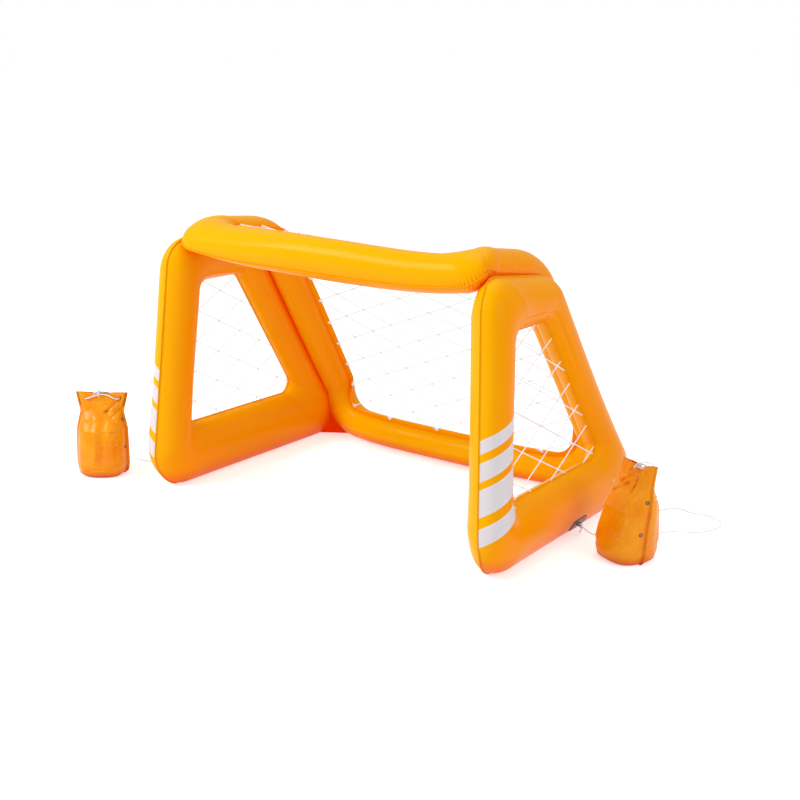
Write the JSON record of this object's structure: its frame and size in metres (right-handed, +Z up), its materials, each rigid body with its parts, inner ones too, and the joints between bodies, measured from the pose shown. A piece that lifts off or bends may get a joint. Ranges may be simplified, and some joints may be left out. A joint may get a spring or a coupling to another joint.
{
  "type": "water polo goal",
  "caption": "Inflatable pool goal of welded vinyl air tubes with tied cord nets and filled anchor bags on cords.",
  "frame": {"origin": "middle of the footprint, on the ground", "axes": "+X to the goal's right as seen from the mouth, +Y from the mouth to the back, +Z up"},
  "size_m": [1.8462, 0.9699, 0.8417],
  "materials": {
    "panel_vinyl": "glossy orange-yellow vinyl film",
    "corner_film": "red-orange vinyl film",
    "bag_vinyl": "creased orange vinyl film",
    "net_cord": "white knotted cord",
    "tether_cord": "white twisted cord",
    "patch_vinyl": "black welded vinyl",
    "eyelet": "dark burnished metal",
    "valve_vinyl": "translucent soft vinyl",
    "sand": "sand"
  },
  "bodies": {
    "goal": {"side_panel_left": "panel_vinyl", "side_panel_right": "panel_vinyl", "middle_panel": "panel_vinyl", "side_net_left": "net_cord", "side_net_right": "net_cord", "rear_net": "net_cord", "corner_web_left": "corner_film", "corner_web_right": "corner_film", "anchor_patch_left": "patch_vinyl", "anchor_patch_right": "patch_vinyl", "anchor_loop_left": "patch_vinyl", "anchor_loop_right": "patch_vinyl", "tether_left": "tether_cord", "tether_right": "tether_cord", "valve_flange_left": "valve_vinyl", "valve_flange_right": "valve_vinyl", "valve_flange_rear": "valve_vinyl"},
    "anchor_bag_left": {"bag_left": "bag_vinyl", "bag_fill_left": "sand", "bag_drawstring_left": "tether_cord", "bag_eyelet_lower_left": "eyelet", "bag_eyelet_upper_left": "eyelet"},
    "anchor_bag_right": {"bag_right": "bag_vinyl", "bag_fill_right": "sand", "bag_drawstring_right": "tether_cord", "bag_eyelet_lower_right": "eyelet", "bag_eyelet_upper_right": "eyelet"},
    "stem_left": {"valve_stem_left": "valve_vinyl"},
    "cap_left": {"valve_cap_left": "valve_vinyl"},
    "stem_right": {"valve_stem_right": "valve_vinyl"},
    "cap_right": {"valve_cap_right": "valve_vinyl"},
    "stem_rear": {"valve_stem_rear": "valve_vinyl"},
    "cap_rear": {"valve_cap_rear": "valve_vinyl"}
  },
  "joints": [
    {"name": "left_bag_lift", "type": "slide", "parent": "goal", "child": "anchor_bag_left", "axis": [0, 0, 1], "range_m": [0, 0.3], "deforming": ["tether_left"]},
    {"name": "right_bag_lift", "type": "slide", "parent": "goal", "child": "anchor_bag_right", "axis": [0, 0, 1], "range_m": [0, 0.3], "deforming": ["tether_right"]},
    {"name": "left_valve_stem", "type": "slide", "parent": "goal", "child": "stem_left", "axis": [-0.9982, -0.0037, 0.0592], "range_m": [0, 0.012]},
    {"name": "left_valve_cap", "type": "hinge", "parent": "stem_left", "child": "cap_left", "pos_m": [-0.63172, 0.25645, 0.11828], "axis": [0.0124, 0.9631, 0.2688], "range_deg": [0, 140]},
    {"name": "right_valve_stem", "type": "slide", "parent": "goal", "child": "stem_right", "axis": [0.9982, -0.0037, 0.0592], "range_m": [0, 0.012]},
    {"name": "right_valve_cap", "type": "hinge", "parent": "stem_right", "child": "cap_right", "pos_m": [0.63171, 0.25651, 0.11829], "axis": [0.0121, -0.9645, -0.264], "range_deg": [0, 140]},
    {"name": "rear_valve_stem", "type": "slide", "parent": "goal", "child": "stem_rear", "axis": [0.108, 0.9568, 0.2699], "range_m": [0, 0.012]},
    {"name": "rear_valve_cap", "type": "hinge", "parent": "stem_rear", "child": "cap_rear", "pos_m": [-0.28436, 0.42753, 0.0803], "axis": [0.9936, -0.1132, 0.0037], "range_deg": [0, 140]}
  ]
}
